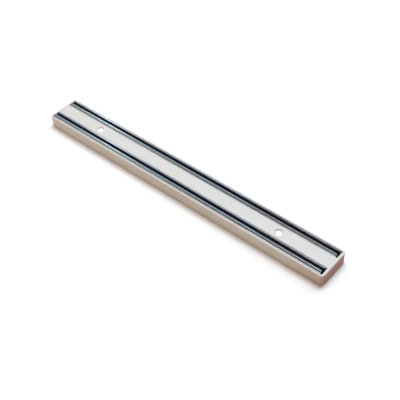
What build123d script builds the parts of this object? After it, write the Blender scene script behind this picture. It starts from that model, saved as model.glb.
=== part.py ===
"""Magnetic knife rack: a hollow moulded bar with two magnet rails, closed by a screwed back cover.

Millimetres. The origin is at the centre of the back face, which lies against the wall.
+X runs along the bar, +Y towards its upper edge on the wall, and +Z out of the wall.
"""

import os
from math import radians, tan

from build123d import *

# Body
LENGTH = 455.0
WIDTH = 48.0
FACE_Z = 17.0
CORNER_R = 5.2
FACE_EDGE_R = 1.3
HOLE_EDGE_R = 0.3
BACK_EDGE_R = 0.4
SIDE_WALL = 2.15
FACE_WALL = 2.2

# Rails: each is an aluminium channel that holds two steel pole strips with a row of magnets between
RAIL_Y = 15.35
RAIL_TOP_Z = 19.2
RAIL_LENGTH = 444.7
RAIL_SHIFT_X = -0.55
SLOT_WIDTH = 12.0
SLOT_LENGTH = 447.8
CHANNEL_TOP_Z = 16.8
CHANNEL_WALL = 1.6
CHANNEL_FLOOR = 1.6
CHANNEL_EDGE_R = 0.2
POLE_THICKNESS = 1.6
POLE_EDGE_R = 0.25
POLE_GAP = 0.05
MAGNET_THICKNESS = 4.5
MAGNET_LENGTH = 49.0
MAGNET_PITCH = 49.3
MAGNET_COUNT = 9
MAGNET_RECESS = 1.3
MAGNET_EDGE = 0.3

# Carriers: black trays that hold the rails, kept in by a ledge under the slot's edge
LEDGE = 0.5
LEDGE_Z = 10.9
CARRIER_CLEARANCE = 0.1
CARRIER_FLOOR = 2.0
POCKET_GAP = 0.05
POCKET_LENGTH = 446.6
TROUGH_WALL = 1.8

# Wall screws, and the sleeves that line their holes
SCREW_SPACING = 300.0
SCREW_BORE_R = 2.5
SLEEVE_R = 3.7
SLEEVE_GAP = 0.05
SLEEVE_TOP_Z = 15.4
SCREW_MOUTH_R = 5.1
SCREW_MOUTH_ANGLE = 82
SCREW_BOSS_R = 6.2

# Back cover and its screws
COVER_THICKNESS = 2.3
COVER_GAP = 0.15
COVER_SCREW_PITCH = 100.0
COVER_SCREW_COUNT = 5
COVER_SCREW_R = 1.45
COVER_SCREW_HEAD_R = 2.75
COVER_SCREW_ANGLE = 82
COVER_SCREW_LENGTH = 9.5
COVER_SCREW_GAP = 0.05
COVER_SCREW_TIP = 1.5
COVER_SCREW_TIP_R = 0.5
COVER_BOSS_R = 3.6
PILOT_DEPTH = 9.0
DRIVE_WIDTH = 0.7
DRIVE_LENGTH = 3.0
DRIVE_DEPTH = 1.1
DRIVE_TAPER = 12
RIB_THICKNESS = 1.6
RIB_PITCH = 50.0
RIB_COUNT = 8

RAILS = {"upper": 1, "lower": -1}
SCREW_SIDES = {"left": -1, "right": 1}

hollow_width = WIDTH - 2 * SIDE_WALL
hollow_length = LENGTH - 2 * SIDE_WALL
hollow_corner_r = CORNER_R - SIDE_WALL
cover_width = hollow_width - 2 * COVER_GAP
cover_length = hollow_length - 2 * COVER_GAP
face_underside_z = FACE_Z - FACE_WALL
trough_width = SLOT_WIDTH + 2 * LEDGE
trough_length = SLOT_LENGTH + 2 * LEDGE
trough_block_width = trough_width + TROUGH_WALL
trough_block_y = RAIL_Y - TROUGH_WALL / 2
middle_bay_width = 2 * (RAIL_Y - trough_width / 2)
sandwich_width = MAGNET_THICKNESS + 2 * POLE_THICKNESS
channel_inner_width = sandwich_width + 2 * POLE_GAP
channel_width = channel_inner_width + 2 * CHANNEL_WALL
channel_base_z = COVER_THICKNESS + CARRIER_FLOOR
sandwich_base_z = channel_base_z + CHANNEL_FLOOR
pole_offset_y = (MAGNET_THICKNESS + POLE_THICKNESS) / 2

os.makedirs("parts", exist_ok=True)


# Body: one moulding, open at the back, with a trough behind each slot
with BuildPart() as body:
    with BuildSketch(Plane.XY):
        RectangleRounded(LENGTH, WIDTH, CORNER_R)
    extrude(amount=FACE_Z)
    fillet(body.edges().group_by(Axis.Z)[-1], FACE_EDGE_R)
    fillet(body.edges().group_by(Axis.Z)[0], BACK_EDGE_R)

    with BuildSketch(Plane.XY):
        RectangleRounded(hollow_length, hollow_width, hollow_corner_r)
    extrude(amount=face_underside_z, mode=Mode.SUBTRACT)

    # Trough walls, ribs and screw bosses, all standing on the underside of the face
    with BuildSketch(Plane.XY.offset(COVER_THICKNESS)):
        for side in RAILS.values():
            with Locations((0, side * trough_block_y)):
                Rectangle(hollow_length, trough_block_width)
        with GridLocations(RIB_PITCH, 1, RIB_COUNT, 1):
            Rectangle(RIB_THICKNESS, middle_bay_width)
        with GridLocations(SCREW_SPACING, 1, 2, 1):
            Circle(SCREW_BOSS_R)
        with GridLocations(COVER_SCREW_PITCH, 1, COVER_SCREW_COUNT, 1):
            Circle(COVER_BOSS_R)
        RectangleRounded(hollow_length, hollow_width, hollow_corner_r, mode=Mode.INTERSECT)
    extrude(amount=FACE_Z - FACE_EDGE_R - COVER_THICKNESS)

    # Troughs from the back up to the ledge, then the narrower slots through the face
    with BuildSketch(Plane.XY):
        with GridLocations(1, 2 * RAIL_Y, 1, 2):
            Rectangle(trough_length, trough_width)
    extrude(amount=LEDGE_Z, mode=Mode.SUBTRACT)
    with BuildSketch(Plane.XY):
        with GridLocations(1, 2 * RAIL_Y, 1, 2):
            Rectangle(SLOT_LENGTH, SLOT_WIDTH)
    extrude(amount=FACE_Z, mode=Mode.SUBTRACT)

    # Countersunk wall-screw holes, wide enough for their sleeves
    with Locations(Plane.XY.offset(FACE_Z)):
        with GridLocations(SCREW_SPACING, 1, 2, 1):
            CounterSinkHole(SLEEVE_R + SLEEVE_GAP, SCREW_MOUTH_R, FACE_Z, SCREW_MOUTH_ANGLE)

    # Softened edges round the slots and the screw holes
    face = body.faces().sort_by(Axis.Z)[-1]
    fillet(face.inner_wires().edges(), HOLE_EDGE_R)

    # Pilot holes for the cover screws, from the back
    with BuildSketch(Plane.XY.offset(COVER_THICKNESS)):
        with GridLocations(COVER_SCREW_PITCH, 1, COVER_SCREW_COUNT, 1):
            Circle(COVER_SCREW_R + COVER_SCREW_GAP)
    extrude(amount=PILOT_DEPTH, mode=Mode.SUBTRACT)

body.part.label = "body"
export_step(body.part, "parts/body.step")


# Back cover: a flat plate let into the back of the body
with BuildPart() as back_cover:
    with BuildSketch(Plane.XY):
        RectangleRounded(cover_length, cover_width, hollow_corner_r - COVER_GAP)
        with GridLocations(SCREW_SPACING, 1, 2, 1):
            Circle(SLEEVE_R + SLEEVE_GAP, mode=Mode.SUBTRACT)
    extrude(amount=COVER_THICKNESS)
    with Locations(Plane.XY.rotated((180, 0, 0))):
        with GridLocations(COVER_SCREW_PITCH, 1, COVER_SCREW_COUNT, 1):
            CounterSinkHole(
                COVER_SCREW_R + COVER_SCREW_GAP,
                COVER_SCREW_HEAD_R + COVER_SCREW_GAP,
                COVER_THICKNESS,
                COVER_SCREW_ANGLE,
            )

back_cover.part.label = "back_cover"
export_step(back_cover.part, "parts/back_cover.step")


# Cover screws: countersunk self-tapping screws with a cross recess, driven in from the back
head_depth = (COVER_SCREW_HEAD_R - COVER_SCREW_R) / tan(radians(COVER_SCREW_ANGLE / 2))

with BuildPart() as cover_screw:
    with BuildSketch(Plane.XZ):
        with BuildLine():
            Polyline(
                (0, 0),
                (COVER_SCREW_HEAD_R, 0),
                (COVER_SCREW_R, head_depth),
                (COVER_SCREW_R, COVER_SCREW_LENGTH - COVER_SCREW_TIP),
                (COVER_SCREW_TIP_R, COVER_SCREW_LENGTH),
                (0, COVER_SCREW_LENGTH),
                close=True,
            )
        make_face()
    revolve(axis=Axis.Z)
    with BuildSketch(Plane.XY):
        with PolarLocations(0, 2, angular_range=180):
            Rectangle(DRIVE_LENGTH, DRIVE_WIDTH)
    extrude(amount=DRIVE_DEPTH, taper=DRIVE_TAPER, mode=Mode.SUBTRACT)

with BuildPart() as cover_screws:
    with GridLocations(COVER_SCREW_PITCH, 1, COVER_SCREW_COUNT, 1):
        add(cover_screw.part)

cover_screws.part.label = "cover_screws"
export_step(cover_screws.part, "parts/cover_screws.step")


# Screw sleeves: white nylon spacers that take the wall screws' clamping load
for name, side in SCREW_SIDES.items():
    with BuildPart() as screw_sleeve:
        with BuildSketch(Plane.XY):
            with Locations((side * SCREW_SPACING / 2, 0)):
                Circle(SLEEVE_R)
                Circle(SCREW_BORE_R, mode=Mode.SUBTRACT)
        extrude(amount=SLEEVE_TOP_Z)

    screw_sleeve.part.label = f"{name}_screw_sleeve"
    export_step(screw_sleeve.part, f"parts/{name}_screw_sleeve.step")


for rail, side in RAILS.items():
    # Magnet carrier: a black tray on the cover, held down by the ledge of the trough
    with BuildPart() as magnet_carrier:
        with BuildSketch(Plane.XY.offset(COVER_THICKNESS)):
            with Locations((0, side * RAIL_Y)):
                Rectangle(trough_length - 2 * CARRIER_CLEARANCE, trough_width - 2 * CARRIER_CLEARANCE)
        extrude(amount=LEDGE_Z - COVER_THICKNESS)
        with BuildSketch(Plane.XY.offset(channel_base_z)):
            with Locations((0, side * RAIL_Y)):
                Rectangle(POCKET_LENGTH, channel_width + 2 * POCKET_GAP)
        extrude(amount=LEDGE_Z - channel_base_z, mode=Mode.SUBTRACT)

    magnet_carrier.part.label = f"{rail}_magnet_carrier"
    export_step(magnet_carrier.part, f"parts/{rail}_magnet_carrier.step")

    # Rail channel: its walls stand beside the pole strips, almost level with the face
    with BuildPart() as rail_channel:
        with BuildSketch(Plane.XY.offset(channel_base_z)):
            with Locations((RAIL_SHIFT_X, side * RAIL_Y)):
                Rectangle(RAIL_LENGTH, channel_width)
        extrude(amount=CHANNEL_TOP_Z - channel_base_z)
        with BuildSketch(Plane.XY.offset(sandwich_base_z)):
            with Locations((RAIL_SHIFT_X, side * RAIL_Y)):
                Rectangle(RAIL_LENGTH, channel_inner_width)
        extrude(amount=CHANNEL_TOP_Z - sandwich_base_z, mode=Mode.SUBTRACT)
        fillet(rail_channel.edges().group_by(Axis.Z)[-1], CHANNEL_EDGE_R)

    rail_channel.part.label = f"{rail}_rail_channel"
    export_step(rail_channel.part, f"parts/{rail}_rail_channel.step")

    # Pole strips: one on each side of the magnets, standing proud of the face
    for place, direction in {"outer": side, "inner": -side}.items():
        with BuildPart() as pole:
            with BuildSketch(Plane.XY.offset(sandwich_base_z)):
                with Locations((RAIL_SHIFT_X, side * RAIL_Y + direction * pole_offset_y)):
                    Rectangle(RAIL_LENGTH, POLE_THICKNESS)
            extrude(amount=RAIL_TOP_Z - sandwich_base_z)
            fillet(pole.edges().group_by(Axis.Z)[-1], POLE_EDGE_R)

        pole.part.label = f"{rail}_rail_{place}_pole"
        export_step(pole.part, f"parts/{rail}_rail_{place}_pole.step")

    # Magnets: a row of blocks between the pole strips
    row_start_x = RAIL_SHIFT_X - MAGNET_PITCH * (MAGNET_COUNT - 1) / 2
    for number in range(MAGNET_COUNT):
        with BuildPart() as magnet:
            with BuildSketch(Plane.XY.offset(sandwich_base_z)):
                with Locations((row_start_x + number * MAGNET_PITCH, side * RAIL_Y)):
                    Rectangle(MAGNET_LENGTH, MAGNET_THICKNESS)
            extrude(amount=RAIL_TOP_Z - MAGNET_RECESS - sandwich_base_z)
            chamfer(magnet.edges().group_by(Axis.Z)[-1], MAGNET_EDGE)

        magnet.part.label = f"{rail}_rail_magnet_{number + 1}"
        export_step(magnet.part, f"parts/{rail}_rail_magnet_{number + 1}.step")
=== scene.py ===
"""Looks for the magnetic knife rack: materials for its CAD nodes, a pale floor, soft light and the camera."""

from math import pi, radians

import bpy
from mathutils import Matrix, Vector


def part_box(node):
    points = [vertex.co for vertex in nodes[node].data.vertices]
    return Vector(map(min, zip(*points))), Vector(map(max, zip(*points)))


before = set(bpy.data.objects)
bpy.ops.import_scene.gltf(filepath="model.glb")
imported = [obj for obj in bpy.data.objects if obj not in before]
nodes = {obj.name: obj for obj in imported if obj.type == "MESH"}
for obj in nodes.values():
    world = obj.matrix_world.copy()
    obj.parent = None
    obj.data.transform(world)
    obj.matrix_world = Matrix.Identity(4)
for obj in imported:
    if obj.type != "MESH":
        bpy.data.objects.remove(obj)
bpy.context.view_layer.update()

MM = 0.001

# Camera, solved from the bar's straight edges, its corners and its screw holes in the photo
SENSOR_MM = 36.0
LENS_MM = 65.104
CAMERA_AIM_X = 43.84 * MM
CAMERA_AIM_Y = -17.61 * MM
CAMERA_DISTANCE = 885.3 * MM

# Floor, which fades to white between two distances from the bar's middle
FLOOR_HALF_SIDE = 15.0
OPENING_INSET = 2.0 * MM
FADE_START = 0.28
FADE_END = 1.0

# Painted bounce light: a red-brown patch of floor off the bar's right end, seen only by bounced rays, at full
# strength inside its radius and gone at its reach
WARM_GAP = 67.5 * MM
WARM_SHIFT_Y = 10.0 * MM
WARM_RADIUS = 55.0 * MM
WARM_REACH = 130.0 * MM

face_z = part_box("body")[1].z
rail_top_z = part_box("upper_rail_outer_pole")[1].z
half_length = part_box("body")[1].x
half_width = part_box("body")[1].y


# Node helpers


def new_tree(name):
    """A new material with an empty node tree, and that tree."""
    material = bpy.data.materials.new(name)
    material.use_nodes = True
    material.node_tree.nodes.clear()
    return material, material.node_tree


def node(tree, kind, inputs=None, **settings):
    """Adds one node, with its settings, and links or sets its inputs."""
    made = tree.nodes.new("ShaderNode" + kind)
    for name, value in settings.items():
        setattr(made, name, value)
    for name, value in (inputs or {}).items():
        fill_socket(tree, made.inputs[name], value)
    return made


def fill_socket(tree, socket, value):
    """Links a socket to another node's output, or sets it to a plain value."""
    if isinstance(value, bpy.types.NodeSocket):
        tree.links.new(value, socket)
    else:
        socket.default_value = value


def position(tree, along=1.0, across=1.0, up=1.0):
    """A point's place in the frame, in metres. A factor under 1 draws a pattern out in that direction."""
    coordinates = node(tree, "TexCoord").outputs["Object"]
    return node(tree, "Mapping", {"Vector": coordinates, "Scale": (along, across, up)}).outputs["Vector"]


def noise(tree, where, scale, detail=2.0, roughness=0.5):
    """Noise from 0 to 1 with features about 1 / scale metres across."""
    inputs = {"Vector": where, "Scale": scale, "Detail": detail, "Roughness": roughness}
    return node(tree, "TexNoise", inputs).outputs["Fac"]


def spread(tree, value, low, high, to_low=0.0, to_high=1.0):
    """value, taken from the range low..high to the range to_low..to_high, and held at its ends."""
    inputs = {"Value": value, "From Min": low, "From Max": high, "To Min": to_low, "To Max": to_high}
    return node(tree, "MapRange", inputs).outputs["Result"]


def combine(tree, operation, a, b):
    """One step of arithmetic on two values."""
    return node(tree, "Math", {0: a, 1: b}, operation=operation).outputs["Value"]


def mix(tree, share, a, b):
    """Colour a, going to colour b as share goes from 0 to 1."""
    made = node(tree, "Mix", data_type="RGBA")
    inputs = {socket.identifier: socket for socket in made.inputs}
    outputs = {socket.identifier: socket for socket in made.outputs}
    fill_socket(tree, inputs["Factor_Float"], share)
    fill_socket(tree, inputs["A_Color"], a)
    fill_socket(tree, inputs["B_Color"], b)
    return outputs["Result_Color"]


def bump(tree, height, depth, under=None):
    """A normal that rises and falls by about depth metres with height, over the normal under it."""
    inputs = {"Height": height, "Distance": depth, "Strength": 1.0}
    if under is not None:
        inputs["Normal"] = under
    return node(tree, "Bump", inputs).outputs["Normal"]


def rgb(red, green, blue):
    """An opaque colour."""
    return (red, green, blue, 1.0)


def surface(tree, **inputs):
    """The tree's shader and output. A keyword's underscores stand for the spaces in a socket's name."""
    shader = node(tree, "BsdfPrincipled", {k.replace("_", " "): v for k, v in inputs.items()})
    node(tree, "OutputMaterial", {"Surface": shader.outputs["BSDF"]})


# Materials


def moulded_plastic(name, tint, shade, roughness, grain_depth):
    """Satin moulded plastic: faint clouds and flow lines, a fine eroded grain, and specks of dust."""
    dust = rgb(0.42, 0.36, 0.30)
    material, tree = new_tree(name)
    where = position(tree)
    clouds = noise(tree, where, scale=45.0, detail=3.0)
    flow = noise(tree, position(tree, along=0.15), scale=220.0, detail=4.0)
    grain = noise(tree, where, scale=2600.0, roughness=0.6)
    specks = noise(tree, where, scale=900.0, detail=1.0)

    colour = mix(tree, spread(tree, clouds, 0.35, 0.65), tint, shade)
    colour = mix(tree, spread(tree, flow, 0.45, 0.75, to_high=0.35), colour, shade)
    colour = mix(tree, spread(tree, specks, 0.70, 0.78, to_high=0.22), colour, dust)

    normal = bump(tree, flow, 0.02 * MM)
    normal = bump(tree, grain, grain_depth, normal)
    surface(
        tree,
        Base_Color=colour,
        Roughness=spread(tree, grain, 0.3, 0.7, roughness - 0.06, roughness + 0.08),
        Normal=normal,
        IOR=1.52,
        Subsurface_Weight=0.06,
        Subsurface_Radius=(0.8, 0.6, 0.4),
        Subsurface_Scale=1.2 * MM,
    )
    return material


def plated_steel():
    """Zinc-plated strip steel: rolling lines along it, a cool grey bloom, and fine wear across the tips."""
    dull = rgb(0.30, 0.335, 0.325)
    bright = rgb(0.355, 0.385, 0.37)
    dark_spangle = rgb(0.275, 0.31, 0.305)
    bare_steel = rgb(0.55, 0.57, 0.59)
    material, tree = new_tree("plated_steel")
    where = position(tree)
    rolling = noise(tree, position(tree, along=0.004), scale=5200.0, detail=3.0, roughness=0.6)
    bloom = noise(tree, where, scale=160.0, detail=3.0)
    spangle = noise(tree, where, scale=700.0)
    wear = noise(tree, position(tree, across=0.03, up=0.03), scale=2400.0, roughness=0.7)

    height = node(tree, "SeparateXYZ", {"Vector": where}).outputs["Z"]
    on_tip = spread(tree, height, rail_top_z - 0.5 * MM, rail_top_z - 0.1 * MM)
    scratches = combine(tree, "MULTIPLY", spread(tree, wear, 0.60, 0.70), on_tip)

    colour = mix(tree, spread(tree, bloom, 0.35, 0.65), dull, bright)
    colour = mix(tree, spread(tree, spangle, 0.55, 0.75, to_high=0.3), colour, dark_spangle)
    colour = mix(tree, scratches, colour, bare_steel)

    normal = bump(tree, rolling, 0.003 * MM)
    normal = bump(tree, scratches, 0.006 * MM, normal)
    surface(
        tree,
        Base_Color=colour,
        Metallic=1.0,
        Roughness=spread(tree, rolling, 0.3, 0.7, 0.11, 0.18),
        Normal=normal,
    )
    return material


def aluminium():
    """Mill-finish extruded aluminium: die lines along it, faint oxide clouds, and a few dark nicks."""
    dull = rgb(0.44, 0.455, 0.445)
    bright = rgb(0.51, 0.52, 0.51)
    dark_nick = rgb(0.25, 0.26, 0.27)
    material, tree = new_tree("aluminium")
    where = position(tree)
    die_lines = noise(tree, position(tree, along=0.01), scale=6500.0, detail=3.0, roughness=0.65)
    oxide = noise(tree, position(tree, along=0.4), scale=260.0, detail=3.0)
    nicks = noise(tree, where, scale=1500.0, detail=1.0)

    colour = mix(tree, spread(tree, oxide, 0.35, 0.65), dull, bright)
    colour = mix(tree, spread(tree, nicks, 0.72, 0.78, to_high=0.5), colour, dark_nick)
    surface(
        tree,
        Base_Color=colour,
        Metallic=1.0,
        Roughness=spread(tree, die_lines, 0.3, 0.7, 0.25, 0.35),
        Normal=bump(tree, die_lines, 0.006 * MM),
    )
    return material


def ferrite():
    """Sintered ferrite: near black, ground flat, with fine grinding marks and a faint grey sparkle."""
    black = rgb(0.004, 0.001, 0.007)
    stained = rgb(0.007, 0.003, 0.011)
    grey = rgb(0.06, 0.06, 0.07)
    material, tree = new_tree("ferrite")
    where = position(tree)
    grinding = noise(tree, position(tree, across=0.05), scale=3600.0)
    sparkle = noise(tree, where, scale=5200.0, detail=1.0)
    stain = noise(tree, where, scale=120.0, detail=3.0)

    colour = mix(tree, spread(tree, stain, 0.3, 0.7), black, stained)
    colour = mix(tree, spread(tree, sparkle, 0.72, 0.80, to_high=0.5), colour, grey)
    surface(
        tree,
        Base_Color=colour,
        Roughness=spread(tree, grinding, 0.3, 0.7, 0.20, 0.32),
        Specular_IOR_Level=0.03,
        Normal=bump(tree, grinding, 0.012 * MM),
    )
    return material


def black_nylon():
    """Black glass-filled nylon: matt, with short pale fibres just under its skin."""
    black = rgb(0.008, 0.008, 0.010)
    pale_fibre = rgb(0.05, 0.05, 0.055)
    material, tree = new_tree("black_nylon")
    fibres = noise(tree, position(tree, along=0.15), scale=2600.0, detail=3.0, roughness=0.65)
    surface(
        tree,
        Base_Color=mix(tree, spread(tree, fibres, 0.55, 0.8, to_high=0.5), black, pale_fibre),
        Roughness=spread(tree, fibres, 0.3, 0.7, 0.5, 0.7),
        Normal=bump(tree, fibres, 0.02 * MM),
    )
    return material


def white_nylon():
    """White nylon: translucent, with fine turning rings round the sleeve.

    A slight painted glow, though the sleeve is no lamp, stands for the light that comes through it from the
    open hole.
    """
    shaded = rgb(0.96, 0.90, 0.83)
    white = rgb(0.99, 0.93, 0.86)
    painted_glow = rgb(1.0, 0.97, 0.94)
    material, tree = new_tree("white_nylon")
    rings = noise(tree, position(tree, up=8.0), scale=900.0)
    clouds = noise(tree, position(tree), scale=400.0)
    surface(
        tree,
        Base_Color=mix(tree, spread(tree, clouds, 0.3, 0.7), shaded, white),
        Roughness=spread(tree, rings, 0.3, 0.7, 0.35, 0.5),
        Normal=bump(tree, rings, 0.01 * MM),
        IOR=1.53,
        Subsurface_Weight=1.0,
        Subsurface_Radius=(1.0, 1.0, 1.0),
        Subsurface_Scale=3.0 * MM,
        # Painted glow: the sleeve emits light of its own, though it is no lamp
        Emission_Color=painted_glow,
        Emission_Strength=0.21,
    )
    return material


def zinc_screw():
    """Bright zinc on a cold-formed screw, a little yellowed, with fine tool marks."""
    zinc = rgb(0.70, 0.70, 0.68)
    yellowed = rgb(0.60, 0.58, 0.52)
    material, tree = new_tree("zinc_screw")
    where = position(tree)
    tarnish = noise(tree, where, scale=900.0, detail=3.0)
    marks = noise(tree, where, scale=4200.0, roughness=0.7)
    surface(
        tree,
        Base_Color=mix(tree, spread(tree, tarnish, 0.35, 0.65), zinc, yellowed),
        Metallic=1.0,
        Roughness=spread(tree, marks, 0.3, 0.7, 0.28, 0.45),
        Normal=bump(tree, marks, 0.006 * MM),
    )
    return material


def floor_paint():
    """A plain pale studio floor, with a trace of unevenness, that fades to a white backdrop far away.

    Off the bar's right end it sends the bar a red-brown light, as the photo's end face shows, though
    the floor itself is pale there to the camera too.
    """
    pale = rgb(0.98, 0.89, 0.78)
    paler = rgb(0.995, 0.905, 0.795)
    # Painted bounce light: this red-brown is seen only by bounced rays and tints the light on the bar's right
    # end face
    red_brown_bounce_light = rgb(0.66, 0.31, 0.23)
    warm_centre = (half_length + WARM_GAP, WARM_SHIFT_Y, 0.0)
    material, tree = new_tree("floor_paint")
    where = position(tree)
    clouds = noise(tree, where, scale=3.0)
    from_bar = node(tree, "VectorMath", {0: where}, operation="LENGTH").outputs["Value"]
    from_warm = node(tree, "VectorMath", {0: where, 1: warm_centre}, operation="DISTANCE").outputs["Value"]
    # Painted bounce light: the red-brown patch off the bar's right end shows only to bounced rays, never to
    # the camera
    bounced = combine(tree, "SUBTRACT", 1.0, node(tree, "LightPath").outputs["Is Camera Ray"])
    painted_bounce_share = combine(tree, "MULTIPLY", spread(tree, from_warm, WARM_RADIUS, WARM_REACH, 1.0, 0.0), bounced)
    surface(
        tree,
        Base_Color=mix(tree, painted_bounce_share, mix(tree, clouds, pale, paler), red_brown_bounce_light),
        Roughness=0.9,
        Specular_IOR_Level=0.1,
        Emission_Color=rgb(1.0, 1.0, 1.0),
        Emission_Strength=spread(tree, from_bar, FADE_START, FADE_END),
    )
    return material


def paint(material, names):
    """Gives CAD nodes a material in place of their plain one."""
    for name in names:
        nodes[name].data.materials[0] = material


def names_with(part):
    """The names of the CAD nodes that have this part in them."""
    return [name for name in sorted(nodes) if part in name]


ivory = moulded_plastic(
    "ivory_plastic",
    tint=rgb(0.665, 0.56, 0.455),
    shade=rgb(0.64, 0.535, 0.435),
    roughness=0.52,
    grain_depth=0.012 * MM,
)
cover = moulded_plastic(
    "cover_plastic",
    tint=rgb(0.68, 0.57, 0.47),
    shade=rgb(0.64, 0.53, 0.43),
    roughness=0.55,
    grain_depth=0.03 * MM,
)
paint(ivory, ["body"])
paint(cover, ["back_cover"])
paint(plated_steel(), names_with("_pole"))
paint(aluminium(), names_with("_rail_channel"))
paint(ferrite(), names_with("_rail_magnet_"))
paint(black_nylon(), names_with("_magnet_carrier"))
paint(white_nylon(), names_with("_screw_sleeve"))
paint(zinc_screw(), ["cover_screws"])


# Stage


def orbit(azimuth, elevation, roll=0.0):
    """The rotation of a camera or light that looks at the object from that side. Angles are in degrees."""
    turn = Matrix.Rotation(radians(azimuth), 3, "Z")
    tilt = Matrix.Rotation(pi / 2 - radians(elevation), 3, "X")
    return turn @ tilt @ Matrix.Rotation(radians(roll), 3, "Z")


def place(data, rotation, aim, distance):
    """A new object that stands distance metres from aim and looks at it."""
    thing = bpy.data.objects.new(data.name, data)
    bpy.context.scene.collection.objects.link(thing)
    where = aim + rotation @ Vector((0.0, 0.0, distance))
    thing.matrix_world = Matrix.Translation(where) @ rotation.to_4x4()
    return thing


def area_light(name, azimuth, elevation, distance, width, height, power, colour):
    """A soft panel, aimed at the middle of the bar's face. Lengths are in metres and power in watts."""
    light = bpy.data.lights.new(name, "AREA")
    light.shape = "RECTANGLE"
    light.size = width
    light.size_y = height
    light.energy = power
    light.color = colour
    place(light, orbit(azimuth, elevation), Vector((0.0, 0.0, face_z)), distance)


def floor():
    """A floor that is open under the bar, so that the bar's back is lit and seen from below."""
    signs = ((-1, -1), (1, -1), (1, 1), (-1, 1))
    open_x = half_length - OPENING_INSET
    open_y = half_width - OPENING_INSET
    outer = [(x * FLOOR_HALF_SIDE, y * FLOOR_HALF_SIDE, 0.0) for x, y in signs]
    inner = [(x * open_x, y * open_y, 0.0) for x, y in signs]
    faces = [(i, (i + 1) % 4, (i + 1) % 4 + 4, i + 4) for i in range(4)]
    mesh = bpy.data.meshes.new("floor")
    mesh.from_pydata(outer + inner, [], faces)
    mesh.materials.append(floor_paint())
    ground = bpy.data.objects.new("floor", mesh)
    bpy.context.scene.collection.objects.link(ground)


def sky(bright_side, dark_side, below, backdrop):
    """Plain surroundings: bright, but dark past the bar's right end, and even below the floor.

    The camera itself sees the pale backdrop in their place.
    """
    world = bpy.data.worlds.new("sky")
    world.use_nodes = True
    tree = world.node_tree
    direction = node(tree, "SeparateXYZ", {"Vector": node(tree, "TexCoord").outputs["Generated"]})
    toward_right = spread(tree, direction.outputs["X"], 0.0, 0.5)
    downward = combine(tree, "LESS_THAN", direction.outputs["Z"], 0.0)
    seen = node(tree, "LightPath").outputs["Is Camera Ray"]
    colour = mix(tree, toward_right, bright_side, dark_side)
    colour = mix(tree, downward, colour, below)
    colour = mix(tree, seen, colour, backdrop)
    tree.links.new(colour, tree.nodes["Background"].inputs["Color"])
    bpy.context.scene.world = world


floor()
sky(
    bright_side=rgb(0.345, 0.268, 0.185),
    dark_side=rgb(0.04, 0.01, 0.0),
    below=rgb(0.80, 0.86, 0.92),
    backdrop=rgb(1.0, 1.0, 1.0),
)

# Main light, from above and behind
area_light(
    "key", azimuth=203.0, elevation=71.5, distance=2.4,
    width=1.5, height=1.25, power=46.5, colour=(0.824, 1.0, 1.247),
)
# Lower light behind the bar, which widens the shadow on the near side
area_light(
    "back", azimuth=170.0, elevation=39.0, distance=2.0,
    width=0.7, height=0.8, power=12.5, colour=(0.63, 1.0, 1.36),
)
# Weak light from the near side, in that shadow and on the near wall
area_light(
    "fill", azimuth=15.0, elevation=70.0, distance=2.0,
    width=1.4, height=1.4, power=5.4, colour=(0.90, 1.0, 1.22),
)
# Weak light that the strips and channels reflect to the camera
area_light(
    "panel", azimuth=240.0, elevation=40.0, distance=1.8,
    width=1.2, height=1.0, power=4.0, colour=(0.53, 0.81, 1.12),
)
# Weaker light, reflected inside the channels at their left ends
area_light(
    "side", azimuth=305.0, elevation=40.0, distance=1.6,
    width=0.5, height=0.5, power=1.8, colour=(0.78, 1.0, 1.05),
)
# Narrow light, reflected as the pale stretch of the rails beside the left screw hole
area_light(
    "glint", azimuth=235.0, elevation=37.6, distance=1.88,
    width=0.10, height=0.2, power=0.21, colour=(1.0, 0.98, 1.12),
)

camera_data = bpy.data.cameras.new("camera")
camera_data.sensor_width = SENSOR_MM
camera_data.lens = LENS_MM
camera = place(
    camera_data,
    orbit(azimuth=43.227, elevation=46.088, roll=-3.606),
    aim=Vector((CAMERA_AIM_X, CAMERA_AIM_Y, face_z)),
    distance=CAMERA_DISTANCE,
)
bpy.context.scene.camera = camera
bpy.context.scene.view_settings.view_transform = "Standard"
